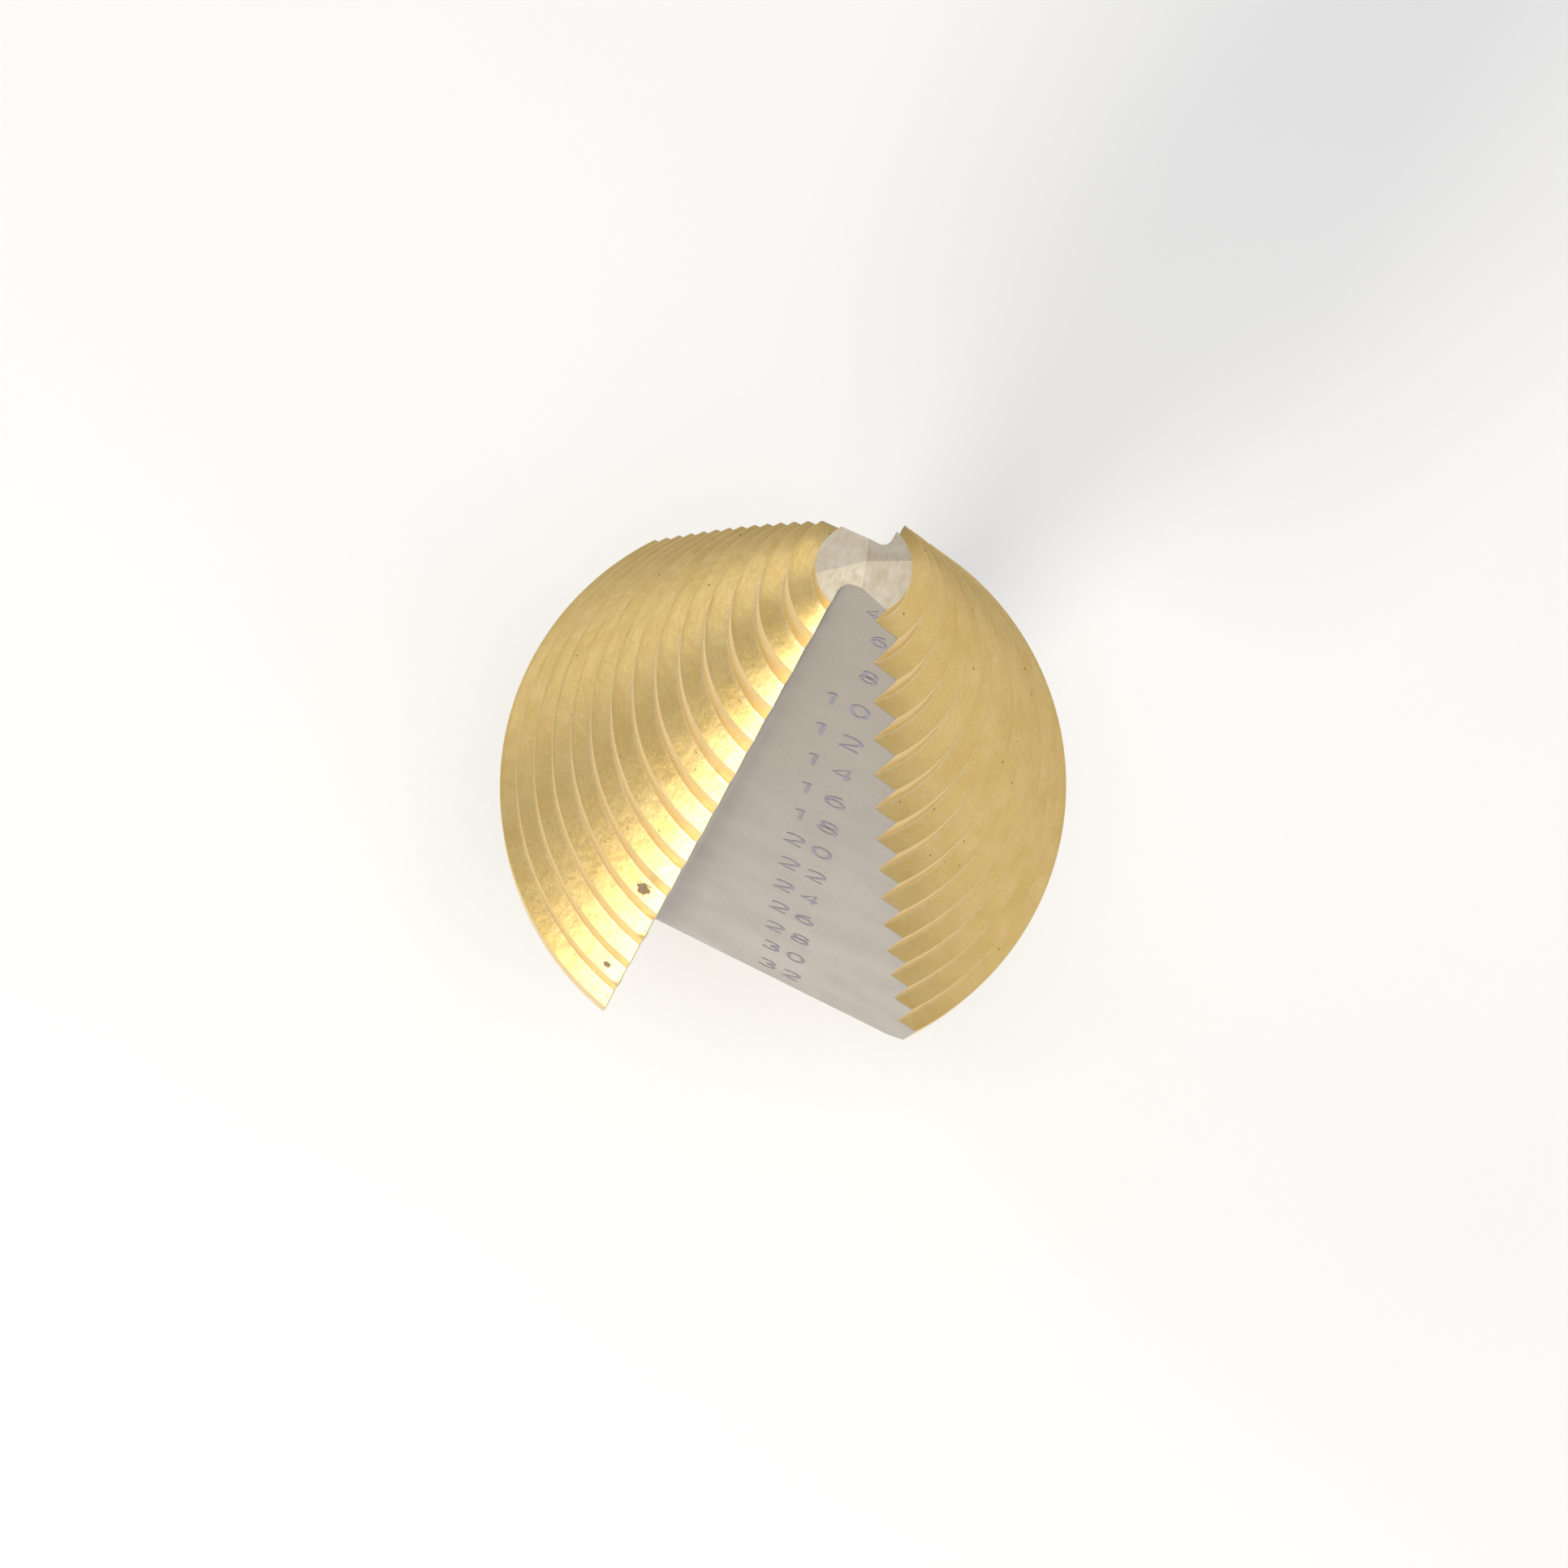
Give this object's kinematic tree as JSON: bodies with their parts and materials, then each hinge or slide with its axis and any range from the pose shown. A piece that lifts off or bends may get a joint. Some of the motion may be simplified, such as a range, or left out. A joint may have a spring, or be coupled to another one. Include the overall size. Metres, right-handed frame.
{
  "type": "step drill",
  "caption": "Stepped conical two-flute drill with a gold-coloured hard coating, a four-facet point and a hexagon shank with a detent groove.",
  "frame": {"origin": "centre of the shank's end face", "axes": "+Z along the drill's axis towards its point; +X square to the heel wall of the first flute, +Y square to its rake wall"},
  "size_m": [0.0314, 0.0316, 0.098],
  "materials": {
    "coated_steel": "gold titanium nitride over ground high-speed steel, satin",
    "ground_steel": "bare ground flute walls and point facets, fine grinding lines",
    "etched_marks": "dark dull laser-etched size numbers",
    "shank_steel": "bright drawn alloy steel with light wear",
    "braze_filler": "dull copper-silver filler"
  },
  "bodies": {
    "root": {"cutting_head": "coated_steel", "hex_shank": "shank_steel", "braze_ring": "braze_filler"}
  },
  "joints": []
}
